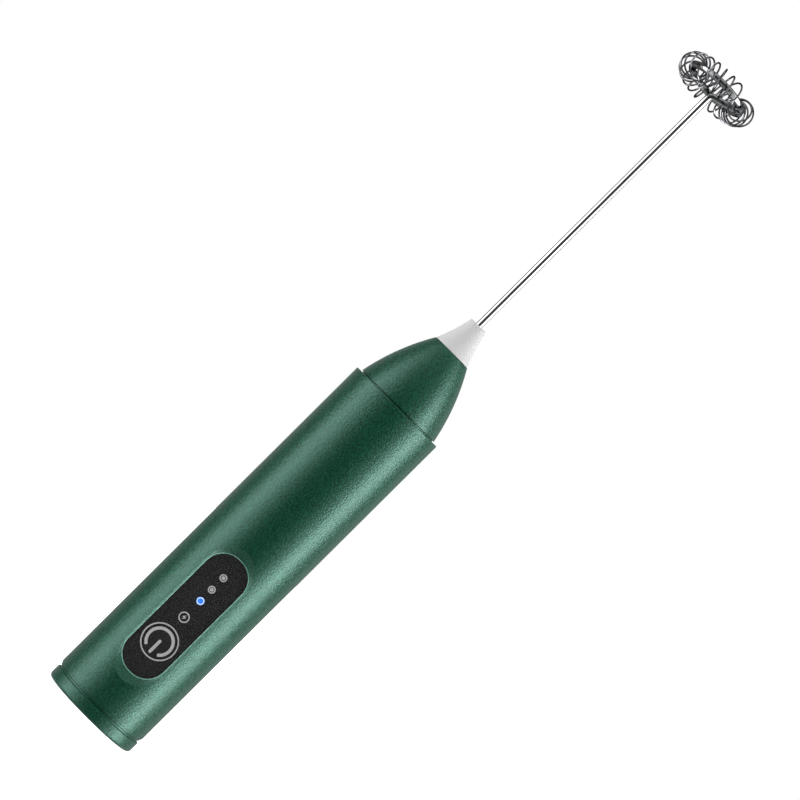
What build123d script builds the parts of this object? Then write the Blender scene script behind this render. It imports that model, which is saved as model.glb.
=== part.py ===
from build123d import *
import math
import os

# Hand-held milk frother. Millimetres, +Z up along the handle, origin at the centre of the base.
# The control panel faces -Y.

# ---- driving sizes ----
handle_radius = 14.5
tube_wall = 2.0
tube_length = 107.5
tube_mouth_fillet = 0.2

cap_visible = 4.8
cap_inset = 0.1
cap_corner = 1.0
cap_groove = 0.2
cap_groove_height = 1.2
cap_floor = 2.4
cap_spigot_length = 4.6
cap_spigot_wall = 1.4

rim_width = 1.3
nose_height = 19.9
nose_tip_radius = 5.7
nose_bulge = 0.9
nose_gap = 0.1
nose_seat_depth = 1.2
nose_spigot_length = 8.1
nose_spigot_wall = 1.5
nose_tip_fillet = 0.3

panel_width = 12.5
panel_length = 39.8
panel_corner = 5.9
panel_bottom = 16.2
panel_depth = 2.1
panel_thickness = 0.8
panel_gap = 0.05
tape_thickness = 0.2
shelf_thickness = 1.2
shelf_margin = 3.0
pocket_flare = 1.33
pocket_overrun = 0.4
tape_inset = 0.4

button_radius = 4.45
button_gap = 0.15
button_flange = 0.65
button_flange_thickness = 0.6
button_above_bottom = 10.65
button_travel = 0.25
stem_radius = 1.5

light_heights_above_bottom = (19.5, 25.4, 29.5, 33.7)
light_post_radius = 0.5
light_post_gap = 0.04
light_bar_width = 2.8
light_bar_thickness = 0.9
light_window_width = 3.4
light_foot_radius = 1.0
light_foot_gap = 1.0

board_setback = 6.4
board_thickness = 1.0
board_side_gap = 2.37
board_bottom = 2.8
board_above_panel = 5.6
switch_size = 6.0
switch_height = 3.1
plunger_radius = 1.7
plunger_rise = 0.3
plunger_length = 0.9
plunger_gap = 0.1
plunger_rest_gap = 0.15
screw_radius = 0.8
screw_length = 3.5
screw_head_radius = 1.4
screw_head_height = 1.0
cross_length = 1.6
cross_width = 0.35
cross_depth = 0.5
led_size = (1.6, 0.8)
led_height = 0.6

socket_width = 8.94
socket_height = 3.16
socket_length = 7.35
socket_wall = 0.3
socket_recess = 0.8
socket_fit = 0.1
tongue_width = 6.7
tongue_thickness = 0.7
tongue_setback = 0.9
plug_width = 12.4
plug_height = 6.6

chassis_gap = 0.2
chassis_wall = 1.0
chassis_bottom = 10.5
bulkhead_thickness = 1.5
cell_room = 2.0
cell_gap = 0.1
cell_edge_fillet = 0.4
tab_width = 4.0
tab_thickness = 0.2
tab_lip = 3.0
tab_clearance = 0.4
cell_lead_radius = 0.4
motor_lead_radius = 0.5
lead_turn_below_cell_top = 4.0
boss_radius = 1.6
boss_length = 4.0
rib_thickness = 1.2

motor_length = 30.0
motor_flat_inset = 2.5
can_wall = 1.0
bell_height = 1.5
terminal_thickness = 0.4
terminal_width = 1.6
terminal_tail = 1.8
leaf_above_bell = 2.0
leaf_thickness = 0.3
leaf_length = 3.8
brush_thickness = 0.7
brush_width = 1.8
brush_height = 2.2
brush_above_leaf = 1.4
sleeve_thickness = 1.1
sleeve_length = 14.0
plate_thickness = 1.2
plate_screw_offset = 6.5
plate_screw_radius = 1.0
plate_screw_head_radius = 1.9
plate_screw_head_height = 1.2

shaft_radius = 1.0
running_gap = 0.03
bush_radius = 3.0
can_boss_height = 1.6
can_boss_wall = 0.4
air_gap = 0.45
core_above_bottom = 11.2
core_length = 14.0
magnet_above_bottom = 11.0
magnet_length = 14.5
magnet_half_gap = 3.9
coil_head_length = 2.15
commutator_wall = 1.6
commutator_length = 4.0
commutator_above_bell = 2.8
drive_radius = 2.5
dog_radius = 2.3
dog_length = 4.8
dog_gap = 0.08
dog_root = 0.5
dog_chamfer = 0.3
dog_end_gap = 0.2

hub_gap = 0.3
hub_height = 9.6
hub_base_radius = 5.65
hub_top_radius = 2.62
hub_waist = 0.31
hub_top_fillet = 0.45
hub_bottom_fillet = 0.2
rod_grip = 3.9

wire_radius = 0.95
rod_reach = 84.3
elbow_radius = 1.3
ring_rise = 2.3
ring_radius = 8.67
ring_tilt = 9.5
ring_start = 12.0
ring_end = 348.0

coil_radius = 3.35
coil_wire_radius = 0.25
coil_turns = 22.375
coil_pitch = 16.0
coil_close_pitch = 8.0
coil_close_turns = 6.0
coil_start = -36.0
coil_arm_turn = 2.5
coil_arm_gap = 28.0
coil_grip = 0.02
coil_grip_turns = 0.75
coil_opening_turns = 1.5
points_per_turn = 8

# ---- sizes worked out from them ----
tube_bottom = cap_visible
tube_top = tube_bottom + tube_length
bore_radius = handle_radius - tube_wall
nose_base_radius = handle_radius - rim_width - nose_gap
nose_top = tube_top + nose_height
nose_seat = tube_top - nose_seat_depth
nose_bottom = nose_seat - nose_spigot_length
spigot_radius = bore_radius - nose_gap
nose_bore = spigot_radius - nose_spigot_wall

panel_face = -(handle_radius - panel_depth)
panel_back = panel_face + panel_thickness
tape_back = panel_back + tape_thickness
shelf_back = tape_back + shelf_thickness
panel_middle = panel_bottom + panel_length / 2
button_height = panel_bottom + button_above_bottom
light_heights = [panel_bottom + height for height in light_heights_above_bottom]

board_front = panel_face + board_setback
board_back = board_front + board_thickness
board_top = panel_bottom + panel_length + board_above_panel
board_half_width = math.sqrt(bore_radius**2 - board_front**2) - board_side_gap
board_screw_x = board_half_width - 1.6
board_screw_heights = (board_bottom + 8.7, board_top - 2.1)
plunger_front = board_front - switch_height - plunger_rise
socket_middle = board_back + socket_height / 2

chassis_radius = bore_radius - chassis_gap
chassis_inner = chassis_radius - chassis_wall
chassis_front = board_back + 0.4
cell_front = board_back + cell_room
cell_radius = (chassis_inner - cell_gap - cell_front) / 2
cell_middle = cell_front + cell_radius
cell_bottom = chassis_bottom + bulkhead_thickness + 0.5

motor_radius = chassis_inner - sleeve_thickness
motor_top = tube_top - 0.3
motor_bottom = motor_top - motor_length
motor_flat = motor_radius - motor_flat_inset
can_inner = motor_radius - can_wall
flat_inner = motor_flat - can_wall
armature_radius = flat_inner - air_gap
commutator_radius = shaft_radius + commutator_wall
core_bottom = motor_bottom + core_above_bottom
core_top = core_bottom + core_length
slot_radius = 0.3 * armature_radius
slot_middle = 0.63 * armature_radius
leaf_bottom = motor_bottom + bell_height + leaf_above_bell
seat_bottom = motor_bottom - 1.4
cell_top = seat_bottom - 3.1
chassis_top = nose_bottom - 0.2
terminal_x = 0.5 * motor_radius
terminal_y = -0.4 * motor_radius

hub_bottom = nose_top + hub_gap
hub_top = hub_bottom + hub_height
drive_shoulder = hub_bottom - 0.02
drive_bottom = motor_top + 5.0
shaft_top = drive_bottom + 7.0
dog_top = drive_shoulder + dog_length
rod_bottom = hub_top - rod_grip
elbow_height = hub_top + rod_reach
ring_height = elbow_height + ring_rise
bushing_radius = drive_radius + 1.1
bushing_bottom = nose_top - 10.7
seal_bottom = nose_top - 4.0
lip_bottom = nose_top - 1.2


# ---- small helpers ----
def box(x_low, x_high, y_low, y_high, z_low, z_high):
    """A block between the given limits."""
    block = Box(x_high - x_low, y_high - y_low, z_high - z_low)
    return Pos((x_low + x_high) / 2, (y_low + y_high) / 2, (z_low + z_high) / 2) * block


def disc(radius, z_low, z_high, x=0.0, y=0.0):
    """A solid cylinder along Z."""
    return Pos(x, y, (z_low + z_high) / 2) * Cylinder(radius, z_high - z_low)


def ring(outer, inner, z_low, z_high, x=0.0, y=0.0):
    """A plain tube along Z."""
    return disc(outer, z_low, z_high, x, y) - disc(inner, z_low, z_high, x, y)


def front_prism(sketch, y_front, y_back, z, x=0.0):
    """A sketch seen from the panel side, given depth from y_front to y_back."""
    plane = Plane(origin=(x, y_back, z), x_dir=(1, 0, 0), z_dir=(0, -1, 0))
    return extrude(plane * sketch, amount=y_back - y_front)


def turned(*edges):
    """A face bounded by the given XZ edges, turned once about Z."""
    return revolve(make_face(Curve() + list(edges)), Axis.Z)


def chain(*points):
    """Straight edges through (radius, height) points in the XZ plane."""
    return Polyline(*[(radius, 0, height) for radius, height in points])


def arc(start, end, bulge):
    """An arc between two (radius, height) points, bulging outward by bulge."""
    chord = math.dist(start, end)
    normal = ((end[1] - start[1]) / chord, (start[0] - end[0]) / chord)
    middle_r = (start[0] + end[0]) / 2 + bulge * normal[0]
    middle_z = (start[1] + end[1]) / 2 + bulge * normal[1]
    return ThreePointArc((start[0], 0, start[1]), (middle_r, 0, middle_z), (end[0], 0, end[1]))


def wire_solid(path, radius):
    """A round wire along a path."""
    section = Plane(origin=path @ 0, z_dir=path % 0) * Circle(radius)
    return sweep(section, path=path)


def corner_radii(points, share=0.45):
    """The bend radius that each corner of a route has room for."""
    radii = []
    for before, corner, after in zip(points, points[1:], points[2:]):
        run_in = corner - before
        run_out = after - corner
        half_turn = math.radians(run_in.get_angle(run_out)) / 2
        radii.append(share * min(run_in.length, run_out.length) / math.tan(half_turn))
    return radii


# ---- handle body ----
def panel_outline(extra=0.0):
    return RectangleRounded(panel_width + 2 * extra, panel_length + 2 * extra, panel_corner + extra)


def pocket_flare_solid():
    """The sloping wall between the panel's face and the tube's skin."""
    depth = panel_depth + pocket_overrun
    spread = depth * pocket_flare
    floor = Plane(origin=(0, panel_face, panel_middle), x_dir=(1, 0, 0), z_dir=(0, -1, 0))
    mouth = floor.offset(depth)
    return loft([floor * panel_outline(panel_gap), mouth * panel_outline(panel_gap + spread)], ruled=True)


def light_window(width, y_front, y_back):
    """The slot behind the panel that the light guide sits in."""
    low = light_heights[0] - width / 2
    high = light_heights[-1] + width / 2
    slot = RectangleRounded(width, high - low, width / 2 - 0.02)
    return front_prism(slot, y_front, y_back, (low + high) / 2)


def make_handle_tube():
    tube = disc(handle_radius, tube_bottom, tube_top)
    tube = fillet(tube.edges().group_by(Axis.Z)[-1], tube_mouth_fillet)
    tube -= disc(bore_radius, tube_bottom, tube_top)
    tube -= disc(nose_base_radius + nose_gap, nose_seat, tube_top)
    pad_low = panel_bottom - shelf_margin
    pad_high = panel_bottom + panel_length + shelf_margin
    pad = disc(bore_radius + 0.1, pad_low, pad_high)
    pad &= box(-handle_radius, handle_radius, -handle_radius, shelf_back, pad_low, pad_high)
    tube += pad
    tube -= front_prism(panel_outline(panel_gap), panel_face - 0.01, tape_back, panel_middle)
    tube -= pocket_flare_solid()
    tube -= front_prism(
        Circle(button_radius + button_flange + 0.3), tape_back - 0.1, shelf_back + 0.1, button_height
    )
    tube -= light_window(light_window_width, tape_back - 0.1, shelf_back + 0.1)
    return tube


def port_outline(width, height):
    return RectangleRounded(width, height, height / 2 - 0.02)


def port_prism(width, height, z_low, z_high):
    """A rounded slot along Z at the charging port."""
    plane = Plane(origin=(0, socket_middle, z_low))
    return extrude(plane * port_outline(width, height), amount=z_high - z_low)


def make_end_cap():
    cap_radius = handle_radius - cap_inset
    groove_radius = cap_radius - cap_groove
    groove_low = cap_visible - cap_groove_height
    spigot_top = cap_visible + cap_spigot_length
    spigot_inner = spigot_radius - cap_spigot_wall
    corner_start = (cap_radius - cap_corner, 0, 0)
    corner_middle_r = cap_radius - cap_corner * (1 - math.sqrt(0.5))
    corner_middle_z = cap_corner * (1 - math.sqrt(0.5))
    corner_end = (cap_radius, 0, cap_corner)
    cap = turned(
        Line((0, 0, 0), corner_start),
        ThreePointArc(corner_start, (corner_middle_r, 0, corner_middle_z), corner_end),
        chain(
            (cap_radius, cap_corner),
            (cap_radius, groove_low),
            (groove_radius, groove_low + cap_groove_height / 2),
            (groove_radius, cap_visible),
            (spigot_radius, cap_visible),
            (spigot_radius, spigot_top),
            (spigot_inner, spigot_top),
            (spigot_inner, cap_floor),
            (0, cap_floor),
            (0, 0),
        ),
    )
    cap -= port_prism(plug_width, plug_height, 0, socket_recess)
    cap -= port_prism(socket_width + 2 * socket_fit, socket_height + 2 * socket_fit, 0, cap_floor)
    return cap


def make_nose_cone():
    tip = (nose_tip_radius, nose_top)
    shoulder = (nose_base_radius, tube_top)
    ledge = motor_top + plate_thickness + 0.1
    boss_bottom = bushing_bottom - 0.5
    collar_radius = bushing_radius + 1.6
    roof = nose_top - 8.2
    roof_radius = nose_bore - 3.1
    nose = turned(
        arc(shoulder, tip, nose_bulge),
        chain(
            tip,
            (drive_radius + 0.25, nose_top),
            (drive_radius + 0.25, lip_bottom),
            (bushing_radius, lip_bottom),
            (bushing_radius, boss_bottom),
            (collar_radius, boss_bottom),
            (collar_radius, roof),
            (roof_radius, roof),
            (nose_bore - 0.7, ledge),
            (nose_bore, ledge),
            (nose_bore, nose_bottom),
            (spigot_radius, nose_bottom),
            (spigot_radius, nose_seat),
            (nose_base_radius, nose_seat),
            shoulder,
        ),
    )
    rim = nose.edges().filter_by(GeomType.CIRCLE).group_by(Axis.Z)[-1].sort_by(SortBy.RADIUS)[-1]
    return fillet(rim, nose_tip_fillet)


def make_control_panel():
    panel = front_prism(panel_outline(), panel_face, panel_back, panel_middle)
    panel -= front_prism(Circle(button_radius + button_gap), panel_face - 1, panel_back + 1, button_height)
    for height in light_heights:
        hole = Circle(light_post_radius + light_post_gap)
        panel -= front_prism(hole, panel_face - 1, panel_back + 1, height)
    return panel


def make_panel_tape():
    tape = front_prism(panel_outline(-tape_inset), panel_back, tape_back, panel_middle)
    tape -= front_prism(
        Circle(button_radius + button_flange + 0.3), panel_back - 0.1, tape_back + 0.1, button_height
    )
    tape -= light_window(light_window_width, panel_back - 0.1, tape_back + 0.1)
    return tape


def make_light_guide():
    """One clear moulding: a bar behind the panel with a post to each mark and one to each light."""
    guide = light_window(light_bar_width, panel_back, panel_back + light_bar_thickness)
    for height in light_heights:
        guide += front_prism(Circle(light_post_radius), panel_face, panel_back + 0.1, height)
        foot_back = board_front - light_foot_gap
        guide += front_prism(Circle(light_foot_radius), panel_back + 0.8, foot_back, height)
    return guide


def make_power_button():
    flange_front = panel_back + 0.05
    flange_back = flange_front + button_flange_thickness
    button = front_prism(Circle(button_radius), panel_face, flange_front + 0.1, button_height)
    button += front_prism(Circle(button_radius + button_flange), flange_front, flange_back, button_height)
    button += front_prism(Circle(stem_radius), flange_back - 0.1, plunger_front, button_height)
    return button


def make_switch_plunger():
    return front_prism(Circle(plunger_radius), plunger_front, plunger_front + plunger_length, button_height)


def make_switch_body():
    outline = RectangleRounded(switch_size, switch_size, 0.6)
    body = front_prism(outline, board_front - switch_height, board_front, button_height)
    well_back = plunger_front + plunger_length + button_travel + plunger_rest_gap
    body -= front_prism(Circle(plunger_radius + plunger_gap), plunger_front - 1, well_back, button_height)
    return body


def make_circuit_board():
    board = box(-board_half_width, board_half_width, board_front, board_back, board_bottom, board_top)
    for x, height in board_screw_places():
        board -= front_prism(Circle(screw_radius + 0.1), board_front - 1, board_back + 1, height, x)
    return board


def board_screw_places():
    return [(side * board_screw_x, height) for height in board_screw_heights for side in (-1, 1)]


def make_frame_screws():
    screws = []
    head_front = board_front - screw_head_height
    cross = Rectangle(cross_length, cross_width) + Rectangle(cross_width, cross_length)
    for x, height in board_screw_places():
        head = front_prism(Circle(screw_head_radius), head_front, board_front, height, x)
        shank = front_prism(Circle(screw_radius), board_front - 0.1, board_front + screw_length, height, x)
        recess = front_prism(cross, head_front - 0.1, head_front + cross_depth, height, x)
        screws.append(head + shank - recess)
    return Compound(children=screws)


def make_indicator_leds():
    half_x = led_size[0] / 2
    half_z = led_size[1] / 2
    front = board_front - led_height
    chips = [box(-half_x, half_x, front, board_front, z - half_z, z + half_z) for z in light_heights]
    return Compound(children=chips)


def make_control_chips():
    low = board_bottom + 14
    middle = (board_bottom + board_top) / 2
    chips = [
        box(-2.5, 2.5, board_back, board_back + 1.2, low, low + 5),
        box(-2.0, 2.0, board_back, board_back + 1.0, middle, middle + 4),
        box(3.4, 5.4, board_back, board_back + 0.8, middle - 6, middle - 4.4),
        box(-5.4, -3.4, board_back, board_back + 0.8, middle - 6, middle - 4.4),
    ]
    return Compound(children=chips)


def make_charging_socket():
    top = socket_recess + socket_length
    shell = port_prism(socket_width, socket_height, socket_recess, top)
    inner_width = socket_width - 2 * socket_wall
    inner_height = socket_height - 2 * socket_wall
    return shell - port_prism(inner_width, inner_height, socket_recess, top - socket_wall)


def make_socket_tongue():
    low = socket_recess + tongue_setback
    top = socket_recess + socket_length - socket_wall
    half_x = tongue_width / 2
    half_y = tongue_thickness / 2
    return box(-half_x, half_x, socket_middle - half_y, socket_middle + half_y, low, top)


def make_battery_cell():
    cell = disc(cell_radius, cell_bottom, cell_top, 0, cell_middle)
    return fillet(cell.edges().filter_by(GeomType.CIRCLE), cell_edge_fillet)


def make_cell_tabs():
    """A nickel strip on each end of the cell, turned down in front of it."""
    half = tab_width / 2
    front = cell_front - tab_clearance
    back = front + tab_thickness
    lower = box(-half, half, front, cell_middle + 2, cell_bottom - tab_thickness, cell_bottom)
    lower += box(-half, half, front, back, cell_bottom - tab_thickness, cell_bottom + tab_lip)
    upper = box(-half, half, front, cell_middle + 2, cell_top, cell_top + tab_thickness)
    upper += box(-half, half, front, back, cell_top + tab_thickness - tab_lip, cell_top + tab_thickness)
    return Compound(children=[lower, upper])


def make_cell_leads():
    """Short leads from the cell's tabs to pads on the back of the board."""
    tab_face = cell_front - tab_clearance - cell_lead_radius
    pad = board_back + cell_lead_radius
    upper = [
        Vector(0, tab_face, cell_top - 0.5),
        Vector(0.3, tab_face - 0.2, cell_top - 6),
        Vector(0, pad + 0.3, board_top + 3),
        Vector(-0.3, pad, board_top - 3),
    ]
    lower = [
        Vector(-1.2, tab_face, cell_bottom + 0.5),
        Vector(-1.3, tab_face - 0.1, cell_bottom + 2.0),
        Vector(-1.2, pad, cell_bottom + 3.6),
    ]
    return Compound(children=[lead(route, cell_lead_radius) for route in (upper, lower)])


def lead(route, radius):
    """An insulated wire that bends as softly as its route allows."""
    return wire_solid(FilletPolyline(*route, radius=corner_radii(route)), radius)


def make_chassis():
    """A back shell for the board and cell that closes to a ring round the motor."""
    frame = ring(chassis_radius, chassis_inner, chassis_bottom, chassis_top)
    frame += disc(chassis_inner + 0.1, chassis_bottom, chassis_bottom + bulkhead_thickness)
    frame += disc(chassis_inner + 0.1, cell_top + 0.9, cell_top + 0.9 + bulkhead_thickness - 0.3)
    frame += ring(chassis_inner + 0.1, motor_radius - 1.6, seat_bottom, motor_bottom)
    frame -= box(
        -handle_radius, handle_radius, -handle_radius, chassis_front, chassis_bottom - 1, cell_top + 0.8
    )
    frame -= box(-7, 7, -handle_radius, terminal_y - 1.2, cell_top + 0.7, motor_bottom + 0.5)
    for x, height in board_screw_places():
        side = 1 if x > 0 else -1
        wall = side * chassis_radius
        rib_y = board_back + boss_length
        rib_low = height - rib_thickness / 2
        boss = front_prism(Circle(boss_radius), board_back, rib_y, height, x)
        rib = box(min(x, wall), max(x, wall), chassis_front, rib_y, rib_low, rib_low + rib_thickness)
        rib &= disc(chassis_radius, height - 1, height + 1)
        frame += boss + rib
        frame -= front_prism(Circle(screw_radius), board_back - 1, board_front + screw_length, height, x)
    return frame


def can_outline(radius, flat):
    return Circle(radius) & Rectangle(4 * radius, 2 * flat)


def can_prism(radius, flat, z_low, z_high):
    return extrude(Plane(origin=(0, 0, z_low)) * can_outline(radius, flat), amount=z_high - z_low)


def screw_sides():
    return [-plate_screw_offset, plate_screw_offset]


def make_motor_can():
    can = can_prism(motor_radius, motor_flat, motor_bottom + bell_height, motor_top)
    can = fillet(can.edges().group_by(Axis.Z)[-1], 0.6)
    can -= can_prism(can_inner, flat_inner, motor_bottom, motor_top - can_wall)
    can += ring(bush_radius + can_boss_wall, bush_radius, motor_top - 0.1, motor_top + can_boss_height)
    can -= disc(bush_radius, motor_top - 2, motor_top + 3)
    for x in screw_sides():
        can -= disc(plate_screw_radius, motor_top - 2, motor_top + 1, x)
    return can


def make_motor_end_bell():
    bell = can_prism(motor_radius - 0.1, motor_flat - 0.1, motor_bottom, motor_bottom + bell_height)
    bell += can_prism(can_inner, flat_inner, motor_bottom + 0.5, motor_bottom + bell_height + 2)
    bell -= disc(bush_radius, motor_bottom + 0.4, motor_bottom + bell_height + 2)
    bell -= disc(bush_radius - 1, motor_bottom - 1, motor_bottom + 1)
    for side in (-1, 1):
        x = side * terminal_x
        half_x = terminal_thickness / 2 + 0.05
        half_y = terminal_width / 2 + 0.1
        slot = box(x - half_x, x + half_x, -half_y, half_y, motor_bottom - 1, motor_bottom + 9)
        bell -= Pos(0, terminal_y, 0) * slot
    return bell


def make_motor_magnets():
    low = motor_bottom + magnet_above_bottom
    high = low + magnet_length
    blank = ring(can_inner, armature_radius + air_gap, low, high)
    half_y = flat_inner - 0.1
    right = blank & box(magnet_half_gap, can_inner + 1, -half_y, half_y, low, high)
    left = blank & box(-can_inner - 1, -magnet_half_gap, -half_y, half_y, low, high)
    return Compound(children=[right, left])


def make_motor_bushes():
    inner = shaft_radius + running_gap
    rear = ring(bush_radius, inner, motor_bottom + 0.4, motor_bottom + 3.0)
    front = ring(bush_radius, inner, motor_top - 0.8, motor_top + can_boss_height)
    return Compound(children=[rear, front])


def side_box(side, near, far, y_low, y_high, z_low, z_high):
    """A block between two distances from the axis, on the +X side or the -X side."""
    return box(min(side * near, side * far), max(side * near, side * far), y_low, y_high, z_low, z_high)


def make_motor_terminals():
    """Tabs through the end bell, each with the leaf that presses its brush."""
    terminals = []
    half_x = terminal_thickness / 2
    half_y = terminal_width / 2
    shelf_top = leaf_bottom + terminal_thickness
    leaf_near = commutator_radius + 0.05 + brush_thickness
    for side in (-1, 1):
        tab = side_box(
            side, terminal_x - half_x, terminal_x + half_x, terminal_y - half_y, terminal_y + half_y,
            motor_bottom - terminal_tail, shelf_top,
        )
        shelf = side_box(
            side, leaf_near, terminal_x + half_x, terminal_y - half_y, half_y, leaf_bottom, shelf_top
        )
        leaf = side_box(
            side, leaf_near, leaf_near + leaf_thickness, -half_y, half_y,
            leaf_bottom, leaf_bottom + leaf_length,
        )
        terminals.append(tab + shelf + leaf)
    return Compound(children=terminals)


def make_motor_brushes():
    low = leaf_bottom + brush_above_leaf
    near = commutator_radius + 0.05
    half_y = brush_width / 2
    brushes = [
        side_box(side, near, near + brush_thickness, -half_y, half_y, low, low + brush_height)
        for side in (-1, 1)
    ]
    return Compound(children=brushes)


def make_motor_leads():
    """Two leads from the board's top edge up to the motor's terminals."""
    leads = []
    for side in (-1, 1):
        start_y = board_front - motor_lead_radius
        end_x = side * terminal_x
        end_y = terminal_y - terminal_width / 2 - motor_lead_radius
        top = motor_bottom - 0.6
        route = [
            Vector(side * 2.4, start_y, board_top - 4),
            Vector(side * 2.6, start_y - 0.9, board_top + 4),
            Vector(side * 0.8 + end_x * 0.6, start_y - 1.0, cell_top - lead_turn_below_cell_top),
            Vector(end_x, end_y, top),
        ]
        leads.append(lead(route, motor_lead_radius))
    return Compound(children=leads)


def make_motor_sleeve():
    low = motor_bottom + 4.0
    return disc(chassis_inner, low, low + sleeve_length) - can_prism(
        motor_radius, motor_flat, low - 1, low + sleeve_length + 1
    )


def make_motor_plate():
    plate = disc(nose_bore - 0.2, motor_top, motor_top + plate_thickness)
    plate -= disc(bush_radius + 0.5, motor_top - 1, motor_top + 3)
    for x in screw_sides():
        plate -= disc(plate_screw_radius + 0.05, motor_top - 1, motor_top + 3, x)
    return plate


def make_motor_screws():
    screws = []
    head_low = motor_top + plate_thickness
    head_top = head_low + plate_screw_head_height
    for x in screw_sides():
        shank = disc(plate_screw_radius, motor_top - 1.6, head_low + 0.1, x)
        head = disc(plate_screw_head_radius, head_low, head_top, x)
        recess = box(x - 1.2, x + 1.2, -0.25, 0.25, head_top - 0.6, head_top + 1)
        recess += box(x - 0.25, x + 0.25, -1.2, 1.2, head_top - 0.6, head_top + 1)
        screws.append(shank + head - recess)
    return Compound(children=screws)


def make_nose_bushing():
    return ring(bushing_radius, drive_radius + running_gap, bushing_bottom, seal_bottom - 0.2)


def make_shaft_seal():
    """A rubber ring whose inner lip runs on the drive."""
    inner = drive_radius + 0.02
    return turned(
        chain(
            (inner, lip_bottom - 0.5),
            (inner + 0.5, seal_bottom),
            (bushing_radius, seal_bottom),
            (bushing_radius, lip_bottom),
            (inner, lip_bottom),
            (inner, lip_bottom - 0.5),
        )
    )


# ---- rotor body ----
def make_motor_shaft():
    return disc(shaft_radius, motor_bottom + 0.2, shaft_top)


def slot_turns():
    """The three places between the armature's poles."""
    return [Rot(0, 0, 60 + 120 * pole) for pole in range(3)]


def make_armature_core():
    """Three-pole laminations: a disc with three round slots opened to the outside."""
    core = ring(armature_radius, shaft_radius, core_bottom, core_top)
    low = core_bottom - 1
    high = core_top + 1
    for turn in slot_turns():
        core -= turn * disc(slot_radius, low, high, slot_middle)
        core -= turn * box(slot_middle, armature_radius + 1, -0.6, 0.6, low, high)
    return core


def make_armature_windings():
    """Copper that fills the slots and turns over both ends of the core."""
    outer = armature_radius - 0.7
    inner = shaft_radius + 0.8
    gap = 0.05
    copper = ring(outer, inner, core_bottom - gap - coil_head_length, core_bottom - gap)
    copper += ring(outer, inner, core_top + gap, core_top + gap + coil_head_length)
    for turn in slot_turns():
        copper += turn * disc(slot_radius - 0.1, core_bottom - 1, core_top + 1, slot_middle)
    return copper


def make_commutator():
    low = motor_bottom + bell_height + commutator_above_bell
    high = low + commutator_length
    bars = ring(commutator_radius, shaft_radius, low, high)
    for turn in slot_turns():
        bars -= turn * box(shaft_radius + 0.6, commutator_radius + 1, -0.2, 0.2, low - 1, high + 1)
    return bars


def make_drive_coupler():
    """Sleeve pressed on the shaft, with a six-sided dog that drives the hub."""
    sleeve = disc(drive_radius, drive_bottom, drive_shoulder)
    dog_plane = Plane(origin=(0, 0, drive_shoulder - dog_root))
    dog = extrude(dog_plane * RegularPolygon(dog_radius, 6), dog_length + dog_root)
    dog = chamfer(dog.edges().group_by(Axis.Z)[-1], dog_chamfer)
    return sleeve + dog - disc(shaft_radius, drive_bottom - 1, shaft_top)


# ---- whisk body ----
def make_whisk_hub():
    foot = (hub_base_radius, hub_bottom)
    head = (hub_top_radius, hub_top)
    hub = turned(arc(foot, head, -hub_waist), chain(head, (0, hub_top), (0, hub_bottom), foot))
    hub = fillet(hub.edges().filter_by(GeomType.CIRCLE).group_by(Axis.Z)[-1], hub_top_fillet)
    hub = fillet(hub.edges().filter_by(GeomType.CIRCLE).group_by(Axis.Z)[0], hub_bottom_fillet)
    socket = Plane(origin=(0, 0, hub_bottom)) * RegularPolygon(dog_radius + dog_gap, 6)
    hub -= extrude(socket, dog_top + dog_end_gap - hub_bottom)
    return hub - disc(wire_radius, rod_bottom, hub_top + 1)


def ring_plane():
    """The whisk ring's plane: its -Y side is the higher one."""
    return Plane(origin=(0, 0, ring_height)).rotated((-ring_tilt, 0, 0))


def ring_point(angle, radius=ring_radius, lift=0.0):
    """A point near the whisk ring, by its angle, distance and height in the ring's plane."""
    turn = math.radians(angle)
    return ring_plane().from_local_coords(Vector(radius * math.cos(turn), radius * math.sin(turn), lift))


def make_whisk_rod():
    """One wire: rod, elbow, arm, and the open ring round the far side."""
    corner = ring_point(0, ring_radius / math.cos(math.radians(ring_start)))
    lead_in = FilletPolyline(
        Vector(0, 0, rod_bottom), Vector(0, 0, elbow_height), corner, ring_point(ring_start),
        radius=elbow_radius,
    )
    loop = ring_plane() * CenterArc((0, 0), ring_radius, ring_start, ring_end - ring_start)
    return wire_solid(Wire(lead_in.edges() + loop.edges()), wire_radius)


def coil_route():
    """Points of a spring wound round the ring. It grips the ring's wire, opens out in close turns
    that step over the arm, and goes on at its full pitch."""
    tight = wire_radius + coil_wire_radius + coil_grip
    outside = 1 / math.cos(math.pi / points_per_turn)
    route = []
    for step in range(int(coil_turns * points_per_turn) + 1):
        turns = step / points_per_turn
        opening = min(1.0, max(0.0, (turns - coil_grip_turns) / coil_opening_turns))
        reach = outside * (tight + (coil_radius - tight) * opening)
        past_arm = min(1.0, max(0.0, turns - coil_arm_turn))
        close = min(turns, coil_close_turns)
        advance = coil_close_pitch * close + coil_pitch * (turns - close) + coil_arm_gap * past_arm
        winding = -2 * math.pi * turns
        distance = ring_radius + reach * math.cos(winding)
        route.append(ring_point(coil_start + advance, distance, reach * math.sin(winding)))
    return route


def make_whisk_coil():
    route = coil_route()
    path = FilletPolyline(*route, radius=corner_radii(route))
    return wire_solid(path, coil_wire_radius)


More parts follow.
